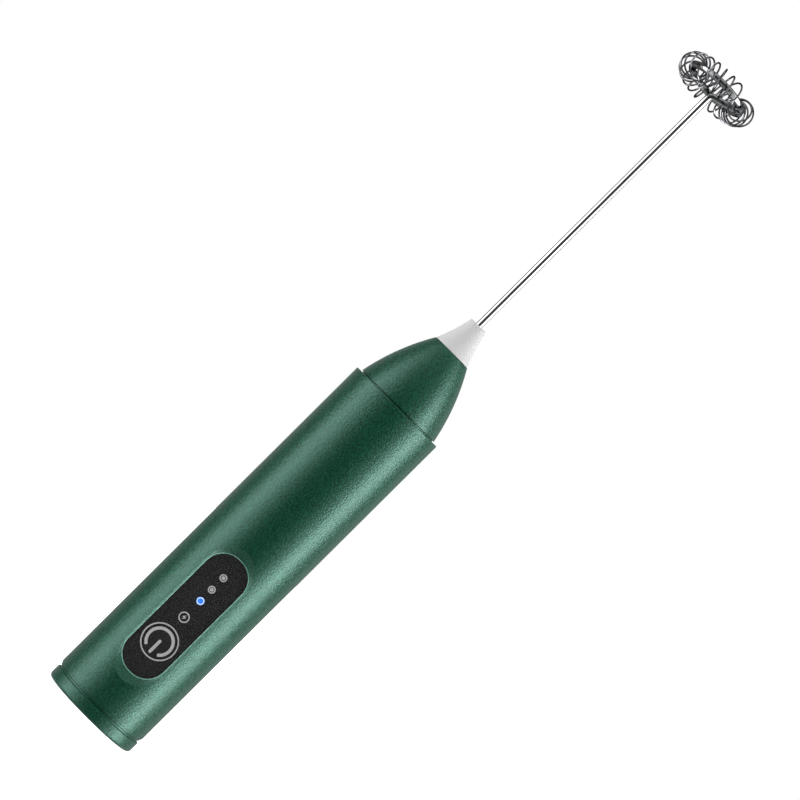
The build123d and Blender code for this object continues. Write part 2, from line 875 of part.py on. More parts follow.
PARTS = {
    "handle_tube": make_handle_tube,
    "end_cap": make_end_cap,
    "nose_cone": make_nose_cone,
    "control_panel": make_control_panel,
    "panel_tape": make_panel_tape,
    "light_guide": make_light_guide,
    "power_button": make_power_button,
    "switch_plunger": make_switch_plunger,
    "switch_body": make_switch_body,
    "circuit_board": make_circuit_board,
    "frame_screws": make_frame_screws,
    "indicator_leds": make_indicator_leds,
    "control_chips": make_control_chips,
    "charging_socket": make_charging_socket,
    "socket_tongue": make_socket_tongue,
    "battery_cell": make_battery_cell,
    "cell_tabs": make_cell_tabs,
    "cell_leads": make_cell_leads,
    "chassis": make_chassis,
    "motor_can": make_motor_can,
    "motor_end_bell": make_motor_end_bell,
    "motor_magnets": make_motor_magnets,
    "motor_bushes": make_motor_bushes,
    "motor_terminals": make_motor_terminals,
    "motor_brushes": make_motor_brushes,
    "motor_leads": make_motor_leads,
    "motor_sleeve": make_motor_sleeve,
    "motor_plate": make_motor_plate,
    "motor_screws": make_motor_screws,
    "nose_bushing": make_nose_bushing,
    "shaft_seal": make_shaft_seal,
    "motor_shaft": make_motor_shaft,
    "armature_core": make_armature_core,
    "armature_windings": make_armature_windings,
    "commutator": make_commutator,
    "drive_coupler": make_drive_coupler,
    "whisk_hub": make_whisk_hub,
    "whisk_rod": make_whisk_rod,
    "whisk_coil": make_whisk_coil,
}

os.makedirs("parts", exist_ok=True)
for name, make in PARTS.items():
    export_step(make(), f"parts/{name}.step")
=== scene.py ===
# %% [markdown]
# # A hand-held milk frother
#
# The real object is a slim battery mixer: a painted tube with a black key plate, a cone that closes
# its mouth, a plastic hub that plugs onto the motor's drive, and a steel rod that ends in a ring
# with a spring wound round it. The sizes, the hidden works and everything that moves come from a
# finished frame. This lesson gives the parts that show a finer shape and gives every part a finish.

# %% Load the frame
import math

import bmesh
import bpy
from mathutils import Matrix, Vector


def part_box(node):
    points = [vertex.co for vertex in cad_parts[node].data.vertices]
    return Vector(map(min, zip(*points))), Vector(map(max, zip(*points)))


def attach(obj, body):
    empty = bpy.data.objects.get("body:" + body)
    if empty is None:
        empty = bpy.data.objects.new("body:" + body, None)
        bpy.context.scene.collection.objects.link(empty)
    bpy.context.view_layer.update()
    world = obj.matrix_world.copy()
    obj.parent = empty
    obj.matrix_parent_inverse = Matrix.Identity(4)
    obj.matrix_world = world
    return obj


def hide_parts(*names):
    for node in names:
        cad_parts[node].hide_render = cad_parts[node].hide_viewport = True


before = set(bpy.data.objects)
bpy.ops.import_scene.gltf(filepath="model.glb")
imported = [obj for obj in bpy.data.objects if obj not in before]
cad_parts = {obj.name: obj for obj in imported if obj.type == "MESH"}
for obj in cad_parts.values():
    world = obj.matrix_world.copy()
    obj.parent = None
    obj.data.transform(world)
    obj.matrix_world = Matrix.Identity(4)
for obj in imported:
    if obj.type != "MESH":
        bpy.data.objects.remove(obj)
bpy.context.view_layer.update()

MM = 0.001

# %% [markdown]
# ## Colour and shader helpers
#
# Paint makers and screens give colours as sRGB hex values, while a shader adds up light and needs
# linear ones. One function turns the first into the second. One more adds a shader node, sets it
# and links it, which keeps each finish below to a few lines.

# %% Two helpers for materials
def linear(hex_colour):
    """An sRGB hex value as linear RGBA."""
    channels = [int(hex_colour[i:i + 2], 16) / 255 for i in (1, 3, 5)]
    spread = [c / 12.92 if c <= 0.04045 else ((c + 0.055) / 1.055) ** 2.4 for c in channels]
    return (*spread, 1.0)


def add_node(tree, kind, inputs=None, **settings):
    """Adds a node. An input is a plain value, or an output socket to link."""
    node = tree.nodes.new(kind)
    for name, value in settings.items():
        setattr(node, name, value)
    for name, value in (inputs or {}).items():
        if isinstance(value, bpy.types.NodeSocket):
            tree.links.new(value, node.inputs[name])
        else:
            node.inputs[name].default_value = value
    return node


def new_finish(name, roughness, metallic=0.0, ior=1.5, **shader_values):
    """A material with one Principled shader, and the object coordinates its patterns use.

    Further shader inputs are given by name, with _ for each space.
    """
    material = bpy.data.materials.new(name)
    material.use_nodes = True
    tree = material.node_tree
    tree.nodes.clear()
    shader = add_node(
        tree, "ShaderNodeBsdfPrincipled", {"Roughness": roughness, "Metallic": metallic, "IOR": ior}
    )
    for socket, value in shader_values.items():
        shader.inputs[socket.replace("_", " ")].default_value = value
    add_node(tree, "ShaderNodeOutputMaterial", {"Surface": shader.outputs["BSDF"]})
    place = add_node(tree, "ShaderNodeTexCoord").outputs["Object"]
    return material, tree, shader, place


def two_tone(tree, shader, place, grain_mm, dark, light, low=0.35, high=0.65, detail=2.0):
    """Noise of a real grain size that runs between two colours. Returns the noise's output."""
    noise = add_node(
        tree, "ShaderNodeTexNoise", {"Vector": place, "Scale": 1 / (grain_mm * MM), "Detail": detail}
    )
    ramp = add_node(tree, "ShaderNodeValToRGB", {"Fac": noise.outputs["Fac"]})
    ramp.color_ramp.elements[0].position = low
    ramp.color_ramp.elements[0].color = linear(dark)
    ramp.color_ramp.elements[1].position = high
    ramp.color_ramp.elements[1].color = linear(light)
    tree.links.new(ramp.outputs["Color"], shader.inputs["Base Color"])
    return noise.outputs["Fac"]


def relief(tree, shader, height, depth_mm, strength=1.0):
    """Turns a pattern into raised and sunken surface of a real depth."""
    bump = add_node(
        tree, "ShaderNodeBump", {"Height": height, "Distance": depth_mm * MM, "Strength": strength}
    )
    tree.links.new(bump.outputs["Normal"], shader.inputs["Normal"])


def vary_roughness(tree, shader, pattern, low, high, least, most):
    """Lets the roughness run from least to most while a pattern runs from low to high."""
    rough = add_node(
        tree, "ShaderNodeMapRange",
        {"Value": pattern, "From Min": low, "From Max": high, "To Min": least, "To Max": most},
    )
    tree.links.new(rough.outputs["Result"], shader.inputs["Roughness"])


print("helpers ready; white is", linear("#ffffff"))

# %% [markdown]
# ## The green paint
#
# The shell is moulded plastic under a metallic spray paint. Tiny flakes in the paint throw light
# back in broad soft bands, and the spray leaves a fine grain. A Principled shader that is part
# metal gives the tinted bands, and noise at the grain's size breaks them up. A plain glossy green
# would show hard-edged bands and look like wet enamel.

# %% Metallic spray paint
def green_paint(name, dark, light, metallic=0.16):
    # Pearl spray paint on ABS: deep green face, pale teal where it catches the light, fine grain.
    # The real grain is about 0.1 mm. It is drawn at 0.45 mm, only as coarse as it needs to show.
    paint, tree, shader, place = new_finish(
        name, 0.31, metallic, Specular_Tint=linear("#dcffff"), Specular_IOR_Level=0.62
    )
    grain_mm, fine_grain_mm = 0.45, 0.35
    grain = two_tone(tree, shader, place, grain_mm, dark, light, low=0.42, high=0.6, detail=3.0)
    fine = add_node(
        tree, "ShaderNodeTexNoise", {"Vector": place, "Scale": 1 / (fine_grain_mm * MM), "Detail": 2.0}
    )
    vary_roughness(tree, shader, fine.outputs["Fac"], 0.35, 0.65, 0.25, 0.37)
    relief(tree, shader, grain, 0.11, 1.0)
    return paint


PAINT = green_paint("pearl_green_paint_on_abs", "#0b3f2a", "#1a5a41")
# The bead is the same green, much lighter: a painted highlight for the thin line of light on its edge.
PAINTED_HIGHLIGHT_LIP = green_paint("green_lip_painted_highlight", "#86cdb6", "#b4ead8", metallic=0.3)
print("made", PAINT.name, PAINTED_HIGHLIGHT_LIP.name)

# %% [markdown]
# ## The key plate, its marks and its light
#
# The plate is a black polycarbonate sheet with a sandy texture, so it stays dark with tiny pale
# specks. The marks are silver screen ink, a film that lies on top. One speed mark is lit from
# behind by a blue light, which an emitting shader gives.

# %% Black plate, silver ink and blue light
def black_plate():
    # Textured polycarbonate: near black, matte, with specks where grains catch the light.
    plate, tree, shader, place = new_finish("textured_black_polycarbonate", 0.6, Specular_IOR_Level=0.25)
    grain = two_tone(tree, shader, place, 0.2, "#09090a", "#77787a", low=0.54, high=0.7, detail=2.0)
    relief(tree, shader, grain, 0.03, 0.5)
    return plate


def silver_ink():
    # Screen ink with aluminium powder: even light grey, a little grainy, hardly shiny.
    ink, tree, shader, place = new_finish("silver_screen_ink", 0.5, metallic=0.2)
    grain = two_tone(tree, shader, place, 0.15, "#b9b9b9", "#e2e2e2")
    relief(tree, shader, grain, 0.01, 0.3)
    return ink


def blue_light(name, centre, rim):
    # A clear window over a blue diode: bright in the middle, paler at its rim.
    light, tree, shader, place = new_finish(name, 0.3, Emission_Strength=0.9)
    spots = two_tone(tree, shader, place, 0.3, centre, rim)
    glow = add_node(tree, "ShaderNodeValToRGB", {"Fac": spots})
    glow.color_ramp.elements[0].color = linear(centre)
    glow.color_ramp.elements[1].color = linear(rim)
    tree.links.new(glow.outputs["Color"], shader.inputs["Emission Color"])
    return light


PLATE = black_plate()
INK = silver_ink()
LIT_INK = blue_light("lit_blue_ring", "#6f9dff", "#c9dbff")
LIT_WINDOW = blue_light("lit_blue_window", "#0f4dff", "#3d7dff")
print("made", PLATE.name, INK.name, LIT_WINDOW.name)

# %% [markdown]
# ## White hub and polished steel
#
# The hub is white ABS from a polished mould: satin, almost without pattern, so only a faint
# unevenness breaks it. The rod, ring and spring are drawn stainless wire, polished until they
# mirror the room. Fine scratches along the wire keep the mirror from looking computed.

# %% Satin ABS and polished wire
def white_abs():
    # Satin ABS: soft white, with a very shallow mould texture. A faint even glow is painted light
    # that lifts the hub's shading, standing for light that thin ABS lets through from behind.
    plastic, tree, shader, place = new_finish(
        "satin_white_abs_painted_glow", 0.6, ior=1.54, Specular_IOR_Level=0.2,
        Emission_Color=linear("#ffffff"), Emission_Strength=0.22,
    )
    grain = two_tone(tree, shader, place, 1.2, "#adadad", "#b2b2b2")
    relief(tree, shader, grain, 0.003, 0.2)
    return plastic


def drawn_steel(name, roughness, bright_tones, shaded_tones, shade_from=0.0, shade_to=1.0):
    # Drawn stainless wire: a mirror with faint lengthwise die marks. Between the heights shade_from
    # and shade_to in mm its colour runs to the shaded tones, a painted shade that darkens the arm and ring.
    # The tint of a metal counts near its rim, where steel turns darker.
    steel, tree, shader, place = new_finish(name, roughness, metallic=1.0, Specular_Tint=linear("#505050"))
    along = 0.05
    mark_width_mm = 0.2
    stretch = add_node(tree, "ShaderNodeMapping", {"Vector": place, "Scale": (1.0, 1.0, along)})
    marks = two_tone(tree, shader, stretch.outputs["Vector"], mark_width_mm, *bright_tones)
    bright = shader.inputs["Base Color"].links[0].from_socket
    shaded = add_node(tree, "ShaderNodeValToRGB", {"Fac": marks})
    shaded.color_ramp.elements[0].color = linear(shaded_tones[0])
    shaded.color_ramp.elements[1].color = linear(shaded_tones[1])
    height = add_node(tree, "ShaderNodeSeparateXYZ", {"Vector": place})
    # Painted shade: the colour darkens between the two heights.
    reach = add_node(
        tree, "ShaderNodeMapRange",
        {"Value": height.outputs["Z"], "From Min": shade_from * MM, "From Max": shade_to * MM},
    )
    mixed = add_node(tree, "ShaderNodeMix", {0: reach.outputs["Result"]}, data_type="RGBA")
    tree.links.new(bright, mixed.inputs[6])
    tree.links.new(shaded.outputs["Color"], mixed.inputs[7])
    tree.links.new(mixed.outputs[2], shader.inputs["Base Color"])
    vary_roughness(tree, shader, marks, 0.3, 0.7, roughness - 0.02, roughness + 0.03)
    return steel


WHITE = white_abs()
# Above 223 mm, on the elbow, arm and ring, the wire's colour is darkened: painted shade.
STEEL = drawn_steel(
    "polished_stainless_wire_painted_shade", 0.07, ("#cfcfce", "#e2e2e1"), ("#8d8e8f", "#a2a3a4"), 223.0, 226.0
)
SPRING_TONES = ("#66676a", "#7e7f82")
SPRING = drawn_steel("drawn_spring_wire", 0.12, SPRING_TONES, SPRING_TONES)
print("made", WHITE.name, STEEL.name, SPRING.name)

# %% [markdown]
# ## From bmesh to a finished piece
#
# Each new part starts as a bmesh, Blender's editable mesh. One function writes it to an object,
# shades it smooth except across sharp edges, lets it ride with its body and hides the plain part
# that it stands for. Every object stays at the origin, and its place is in its mesh.

# %% Finish a piece
SHARP = math.radians(32)


def shade(bm):
    """Smooth shading except across sharp edges."""
    for face in bm.faces:
        face.smooth = True
    for edge in bm.edges:
        edge.smooth = not (edge.is_manifold and edge.calc_face_angle(0) > SHARP)


def finish_piece(bm, name, body, material, replaces=()):
    """Writes the bmesh as an object that rides on a body and stands for the named nodes."""
    bmesh.ops.remove_doubles(bm, verts=bm.verts, dist=0.0005 * MM)
    bmesh.ops.recalc_face_normals(bm, faces=bm.faces)
    shade(bm)
    mesh = bpy.data.meshes.new(name)
    bm.to_mesh(mesh)
    bm.free()
    mesh.materials.append(material)
    piece = bpy.data.objects.new(name, mesh)
    bpy.context.scene.collection.objects.link(piece)
    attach(piece, body)
    if replaces:
        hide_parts(*replaces)
    print("made", name, "with", len(mesh.polygons), "faces")
    return piece


# %% [markdown]
# ## Turned shapes
#
# The tube, cap, cone and hub are all round, so each is an outline turned about the long axis. A
# chain of edges is drawn in the plane of the axis, with round stretches made by spinning one
# vertex about its arc's centre, and the whole chain is then spun through a full turn.

# %% Draw an outline and spin it
TURN_STEPS = 160
ARC_STEPS = 20
UP = Vector((0, 0, 1))


def draw_outline(bm, corners):
    """Draws edges through (radius, height, bulge) corners in mm. A bulge curves the run to a corner."""
    last = bm.verts.new((corners[0][0] * MM, 0, corners[0][1] * MM))
    for radius, height, bulge in corners[1:]:
        goal = Vector((radius * MM, 0, height * MM))
        if bulge:
            chord = goal - last.co
            arc_radius = (chord.length**2 / 4 + (bulge * MM) ** 2) / (2 * abs(bulge) * MM)
            side = Vector((chord.z, 0, -chord.x)).normalized() * math.copysign(1, bulge)
            centre = (last.co + goal) / 2 - side * (arc_radius - abs(bulge) * MM)
            turn = 2 * math.asin(chord.length / 2 / arc_radius)
            made = bmesh.ops.spin(
                bm, geom=[last], cent=centre, axis=(0, -1, 0),
                angle=turn * math.copysign(1, bulge), steps=ARC_STEPS,
            )
            last = made["geom_last"][0]
        else:
            last = bmesh.ops.extrude_vert_indiv(bm, verts=[last])["verts"][0]
        last.co = goal


def turned(corners, rounded=()):
    """A closed turned solid. rounded lists (height, radius, size) of rims to round, in mm."""
    bm = bmesh.new()
    draw_outline(bm, corners)
    bmesh.ops.spin(
        bm, geom=bm.verts[:] + bm.edges[:], cent=(0, 0, 0), axis=UP, angle=2 * math.pi,
        steps=TURN_STEPS, use_merge=True, use_duplicate=False,
    )
    bmesh.ops.remove_doubles(bm, verts=bm.verts, dist=0.001 * MM)
    for height, radius, size in rounded:
        round_rim(bm, height, radius, size)
    return bm


def round_rim(bm, height, radius, size):
    """Rounds the circular edge at that height and radius."""
    slack = 0.02 * MM
    rim = [
        edge for edge in bm.edges
        if all(abs(v.co.z - height * MM) < slack for v in edge.verts)
        and all(abs(v.co.xy.length - radius * MM) < slack for v in edge.verts)
    ]
    bmesh.ops.bevel(
        bm, geom=rim, offset=size * MM, segments=4, profile=0.5, affect="EDGES", material=-1,
        clamp_overlap=True,
    )


print("outline tools ready, with", TURN_STEPS, "steps a turn")

# %% [markdown]
# ## Cutting one shape from another
#
# The pocket for the key plate and the charging port are cuts in a finished shell. In the workshop
# they are cores in the mould. Here a Boolean modifier takes a cutter away, and the result is
# written back as a plain mesh, so that no cutter is left in the scene.

# %% Rounded plates and cuts
CORNER_STEPS = 20
MANY_SIDES = 2 * CORNER_STEPS
NEAR = 0.001 * MM


def stand_up(bm, verts):
    """Turns a flat shape so that it faces the panel side."""
    bmesh.ops.rotate(bm, cent=(0, 0, 0), matrix=Matrix.Rotation(math.radians(90), 3, "X"), verts=verts)


def rounded_outline(bm, width, length, corner, depth, middle):
    """A rounded rectangle seen from the panel side, at y = depth, all in mm. Returns its face."""
    made = bmesh.ops.create_grid(bm, x_segments=1, y_segments=1, size=0.5)
    corners = made["verts"]
    bmesh.ops.scale(bm, vec=(width * MM, length * MM, 1), verts=corners)
    stand_up(bm, corners)
    bmesh.ops.translate(bm, vec=(0, depth * MM, middle * MM), verts=corners)
    rounded = bmesh.ops.bevel(
        bm, geom=corners, offset=corner * MM, segments=CORNER_STEPS, profile=0.5, affect="VERTICES",
        material=-1,
    )
    return next(
        face for face in bm.faces if len(face.verts) > MANY_SIDES and rounded["verts"][0] in face.verts
    )


def extrude_all(bm, y=0.0, z=0.0):
    """Extrudes every face by a shift in mm."""
    made = bmesh.ops.extrude_face_region(bm, geom=bm.faces[:])
    moved = [item for item in made["geom"] if isinstance(item, bmesh.types.BMVert)]
    bmesh.ops.translate(bm, vec=(0, y * MM, z * MM), verts=moved)


def cut(piece, cutter_bm):
    """Takes the cutter away from a piece."""
    mesh = bpy.data.meshes.new("cutter")
    bmesh.ops.recalc_face_normals(cutter_bm, faces=cutter_bm.faces)
    cutter_bm.to_mesh(mesh)
    cutter_bm.free()
    cutter = bpy.data.objects.new("cutter", mesh)
    bpy.context.scene.collection.objects.link(cutter)
    modifier = piece.modifiers.new("cut", "BOOLEAN")
    modifier.object = cutter
    modifier.operation = "DIFFERENCE"
    modifier.solver = "EXACT"
    graph = bpy.context.evaluated_depsgraph_get()
    result = bpy.data.meshes.new_from_object(piece.evaluated_get(graph))
    piece.modifiers.clear()
    result.name = piece.name
    piece.data = result
    bpy.data.objects.remove(cutter)
    bm = bmesh.new()
    bm.from_mesh(result)
    shade(bm)
    bm.to_mesh(result)
    bm.free()


print("cutting tools ready")

# %% [markdown]
# ## The handle tube
#
# The tube is one straight moulding, open at both ends, with a stepped mouth that the cone plugs
# into. Its rims are rounded a little, because a mould leaves no knife edge, and that rounding is
# what draws the thin light line round the mouth. The sloping pocket is two rounded outlines
# bridged into a cutter.

# %% Sizes read from the frame
def low_high(node):
    """A node's lowest and highest corners in mm."""
    return [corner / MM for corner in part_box(node)]


tube_low, tube_high = low_high("handle_tube")
panel_low, panel_high = low_high("control_panel")
tube_radius = tube_high.x
tube_bottom = tube_low.z
tube_top = tube_high.z
bore_radius = tube_radius - 2.0
seat_radius = tube_radius - 1.3
seat_height = tube_top - 1.2
panel_face = panel_low.y
panel_width = panel_high.x - panel_low.x
panel_length = panel_high.z - panel_low.z
panel_middle = (panel_high.z + panel_low.z) / 2
panel_corner = 5.9
pocket_slope = 1.33
print("tube radius", round(tube_radius, 2), "panel", round(panel_width, 2), "x", round(panel_length, 2))

# %% Turn the tube and cut its pocket
def face_at(bm, level):
    """The one many-sided face that lies at y = level, in mm."""
    return next(
        face for face in bm.faces
        if len(face.verts) > MANY_SIDES and abs(face.calc_center_median().y - level * MM) < NEAR
    )


def pocket_cutter():
    """The sloping pocket, and the straight seat below it."""
    bm = bmesh.new()
    gap, seat_depth, past_the_tube = 0.05, 1.0, 0.4
    rise = tube_radius + panel_face + past_the_tube
    rounded_outline(
        bm, panel_width + 2 * gap, panel_length + 2 * gap, panel_corner + gap, panel_face + seat_depth,
        panel_middle,
    )
    extrude_all(bm, y=-seat_depth)
    bmesh.ops.recalc_face_normals(bm, faces=bm.faces)
    bmesh.ops.inset_individual(
        bm, faces=[face_at(bm, panel_face)], thickness=-rise * pocket_slope * MM, depth=rise * MM,
        use_even_offset=True,
    )
    return bm


tube = finish_piece(
    turned(
        [
            (bore_radius, tube_bottom, 0), (tube_radius, tube_bottom, 0), (tube_radius, tube_top, 0),
            (seat_radius, tube_top, 0), (seat_radius, seat_height, 0), (bore_radius, seat_height, 0),
            (bore_radius, tube_bottom, 0),
        ],
        rounded=[
            (tube_top, tube_radius, 0.25), (tube_bottom, tube_radius, 0.12), (tube_top, seat_radius, 0.1),
        ],
    ),
    "handle_shell", "handle", PAINT, ["handle_tube"],
)
cut(tube, pocket_cutter())
print("tube after the cut:", len(tube.data.polygons), "faces")

# %% [markdown]
# ## The bead round the key plate
#
# Where the sloping wall meets the plate stands a narrow lip, and it catches the light as a
# thin line. A ring between two rounded outlines, raised and rounded, gives it, and its much lighter
# green is a painted highlight for that line.

# %% Make the bead
def plate_bead():
    bm = bmesh.new()
    gap, width, height, rounding = 0.04, 0.3, 0.16, 0.1
    middle = rounded_outline(
        bm, panel_width + 2 * gap, panel_length + 2 * gap, panel_corner + gap, panel_face, panel_middle
    )
    bmesh.ops.inset_individual(bm, faces=[middle], thickness=-width * MM, use_even_offset=True)
    bmesh.ops.delete(bm, geom=[middle], context="FACES_ONLY")
    extrude_all(bm, y=-height)
    level = (panel_face - height) * MM
    crests = [
        edge for edge in bm.edges
        if len(edge.link_faces) == 2 and all(abs(v.co.y - level) < NEAR for v in edge.verts)
        and edge.calc_face_angle(0) > SHARP
    ]
    bmesh.ops.bevel(
        bm, geom=crests, offset=rounding * MM, segments=3, profile=0.5, affect="EDGES", material=-1,
        clamp_overlap=True,
    )
    return bm


finish_piece(plate_bead(), "plate_bead", "handle", PAINTED_HIGHLIGHT_LIP)

# %% [markdown]
# ## The cone and the end cap
#
# The cone is a gentle outward arc from the tube's mouth to a small tip. The cap closes the base,
# with a rounded corner where it meets the table and a shallow groove where it meets the tube.
# Both are turned, and the cap's charging port is cut afterwards.

# %% Turn the cone
nose_radius = tube_radius - 1.4
nose_tip = 5.7
nose_top = low_high("nose_cone")[1].z
drive_hole = 2.75
joint_radius = nose_radius - 0.45
joint_top = tube_top + 0.3

finish_piece(
    turned(
        [
            (drive_hole, seat_height, 0), (joint_radius, seat_height, 0), (joint_radius, joint_top, 0),
            (nose_radius, joint_top, 0), (nose_tip, nose_top, 0.9), (drive_hole, nose_top, 0),
            (drive_hole, seat_height, 0),
        ],
        rounded=[(nose_top, nose_tip, 0.2), (joint_top, nose_radius, 0.2)],
    ),
    "nose_shell", "handle", PAINT, ["nose_cone"],
)

# %% Turn the cap and cut its port
def port_cutter(width, height, depth):
    """A rounded slot up from the base, in mm."""
    bm = bmesh.new()
    below = 0.5
    socket_low, socket_high = low_high("charging_socket")
    middle = (socket_low.y + socket_high.y) / 2
    made = bmesh.ops.create_grid(bm, x_segments=1, y_segments=1, size=0.5)
    bmesh.ops.scale(bm, vec=(width * MM, height * MM, 1), verts=made["verts"])
    bmesh.ops.translate(bm, vec=(0, middle * MM, -below * MM), verts=made["verts"])
    bmesh.ops.bevel(
        bm, geom=bm.verts[:], offset=(height / 2 - 0.02) * MM, segments=10, profile=0.5,
        affect="VERTICES", material=-1,
    )
    extrude_all(bm, z=depth + below)
    return bm


cap_radius = tube_radius - 0.1
cap_corner = 1.0
cap_rim = 3.5
slot_low, slot_high = 3.55, 4.0
cap_floor = 2.4
plug_radius = bore_radius - 0.1
plug_bore = bore_radius - 1.5
plug_top = tube_bottom + 4.6
cap_groove = cap_radius - 0.2
cap_slot = cap_radius - 0.55
cap = finish_piece(
    turned(
        [
            (0, 0, 0), (cap_radius - cap_corner, 0, 0), (cap_radius, cap_corner, 0.293),
            (cap_radius, cap_rim, 0), (cap_slot, slot_low, 0), (cap_slot, slot_high, 0),
            (cap_groove, slot_high + 0.2, 0), (cap_groove, tube_bottom, 0),
            (plug_radius, tube_bottom, 0), (plug_radius, plug_top, 0), (plug_bore, plug_top, 0),
            (plug_bore, cap_floor, 0), (0, cap_floor, 0),
        ],
        rounded=[(cap_rim, cap_radius, 0.25)],
    ),
    "cap_shell", "handle", PAINT, ["end_cap"],
)
# First the shallow recess that the plug's body enters, then the opening itself.
cut(cap, port_cutter(width=12.4, height=6.6, depth=0.8))
cut(cap, port_cutter(width=9.14, height=3.36, depth=3.0))

# %% [markdown]
# ## The whisk
#
# The hub is a flared white cone that hides the drive. The rod, elbow, arm and ring are one bent
# wire, and a fine spring is wound round the ring. Wires are easiest as curves with a round
# section: the route is a list of points, with the bends worked out as arcs and the spring as a
# helix in a loop, and the curve is then turned into a mesh.

# %% Turn the hub
hub_low, hub_high = low_high("whisk_hub")
hub_bottom = hub_low.z
hub_top = hub_high.z
hub_base = 5.65
hub_skirt = nose_top + 0.05
hub_bore = 2.38
hub_foot_bore = drive_hole
hub_bore_top = hub_bottom + 5.0
hub_bore_foot = hub_bottom + 0.1
hub_neck = 2.62

finish_piece(
    turned(
        [
            (hub_foot_bore, hub_skirt, 0), (hub_base, hub_skirt, 0), (hub_neck, hub_top, -0.31),
            (0, hub_top, 0), (0, hub_bore_top, 0), (hub_bore, hub_bore_top, 0),
            (hub_bore, hub_bore_foot, 0), (hub_foot_bore, hub_bore_foot, 0),
            (hub_foot_bore, hub_skirt, 0),
        ],
        rounded=[(hub_skirt, hub_base, 0.1), (hub_top, hub_neck, 0.45)],
    ),
    "hub_shell", "whisk", WHITE, ["whisk_hub"],
)

# %% Lay wires along a route
wire_radius = 0.95
elbow_radius = 1.3
elbow_height = 226.4
ring_height = 228.7
ring_radius = 8.67
ring_tilt = math.radians(-9.5)
ring_start = 12.0
ring_end = 348.0


def ring_point(angle, radius=ring_radius, lift=0.0):
    """A point near the ring, by its angle in degrees, distance and height in the ring's plane."""
    turn = math.radians(angle)
    flat = Vector((radius * math.cos(turn), radius * math.sin(turn), lift))
    return Matrix.Rotation(ring_tilt, 3, "X") @ flat + Vector((0, 0, ring_height))


def bend(before, corner, after, radius, steps=12):
    """Points of the arc that rounds a corner of a route."""
    to_before = (before - corner).normalized()
    to_after = (after - corner).normalized()
    half = to_before.angle(to_after) / 2
    centre = corner + (to_before + to_after).normalized() * (radius / math.sin(half))
    start = corner + to_before * (radius / math.tan(half)) - centre
    end = corner + to_after * (radius / math.tan(half)) - centre
    turn = start.angle(end)
    axis = start.cross(end).normalized()
    return [centre + Matrix.Rotation(turn * i / steps, 3, axis) @ start for i in range(steps + 1)]


def wire_piece(name, route, radius, smoothness):
    """A round wire through the route's points, in mm, as a bmesh."""
    curve = bpy.data.curves.new(name, "CURVE")
    curve.dimensions = "3D"
    curve.bevel_depth = radius * MM
    curve.bevel_resolution = smoothness
    curve.use_fill_caps = True
    spline = curve.splines.new("POLY")
    spline.points.add(len(route) - 1)
    for point, place in zip(spline.points, route):
        point.co = (*(place * MM), 1)
    holder = bpy.data.objects.new(name, curve)
    bpy.context.scene.collection.objects.link(holder)
    graph = bpy.context.evaluated_depsgraph_get()
    bm = bmesh.new()
    bm.from_mesh(bpy.data.meshes.new_from_object(holder.evaluated_get(graph)))
    bpy.data.objects.remove(holder)
    return bm


def rod_route():
    """Up the shaft, round the elbow, along the arm and round the open ring."""
    foot = Vector((0, 0, low_high("whisk_rod")[0].z))
    elbow = Vector((0, 0, elbow_height))
    corner = ring_point(0, ring_radius / math.cos(math.radians(ring_start)))
    first = ring_point(ring_start)
    ring_steps, shaft_steps = 150, 40
    step_angle = (ring_end - ring_start) / ring_steps
    around = [ring_point(ring_start + step_angle * i) for i in range(1, ring_steps + 1)]
    shaft = [foot + (elbow - foot) * i / shaft_steps for i in range(shaft_steps)]
    to_arm = bend(foot, elbow, corner, elbow_radius)
    to_ring = bend(elbow, corner, first, elbow_radius)
    return shaft + to_arm + to_ring + around


finish_piece(
    wire_piece("rod", rod_route(), wire_radius, 10), "rod_wire", "whisk", STEEL,
    ["whisk_rod"],
)

# %% Wind the spring
coil_radius = 3.35
coil_wire = 0.25
coil_turns = 22.375
coil_pitch = 16.0
coil_close_pitch = 8.0
coil_close_turns = 6.0
coil_start = -36.0
coil_arm_turn = 2.5
coil_arm_gap = 28.0
coil_clearance = 0.02
coil_grip_turns = 0.75
coil_opening_turns = 1.5


def coil_route(steps_a_turn=36):
    """The spring grips the ring's wire, opens out in close turns and goes on at its full pitch."""
    tight = wire_radius + coil_wire + coil_clearance
    route = []
    for step in range(int(coil_turns * steps_a_turn) + 1):
        turns = step / steps_a_turn
        opening = min(1.0, max(0.0, (turns - coil_grip_turns) / coil_opening_turns))
        reach = tight + (coil_radius - tight) * opening
        past_arm = min(1.0, max(0.0, turns - coil_arm_turn))
        close = min(turns, coil_close_turns)
        advance = coil_close_pitch * close + coil_pitch * (turns - close) + coil_arm_gap * past_arm
        winding = -2 * math.pi * turns
        distance = ring_radius + reach * math.cos(winding)
        route.append(ring_point(coil_start + advance, distance, reach * math.sin(winding)))
    return route


finish_piece(
    wire_piece("coil", coil_route(), coil_wire, 3), "coil_wire", "whisk", SPRING,
    ["whisk_coil"],
)

# %% [markdown]
# ## The printed marks
#
# The marks are ink a few hundredths of a millimetre thick. A ring or arc of ink is one short edge
# spun about the mark's centre, and its ends are rounded. The power mark rides on the key, so it
# moves in when the key is pressed.

# %% Print rings, arcs and bars
ink_thickness = 0.02
mark_level = panel_face
button_low, button_high = low_high("power_button")
button_middle = (button_low.z + button_high.z) / 2


def thicken(bm):
    """Gives flat ink its thickness, towards the viewer."""
    extrude_all(bm, y=-ink_thickness)
    return bm


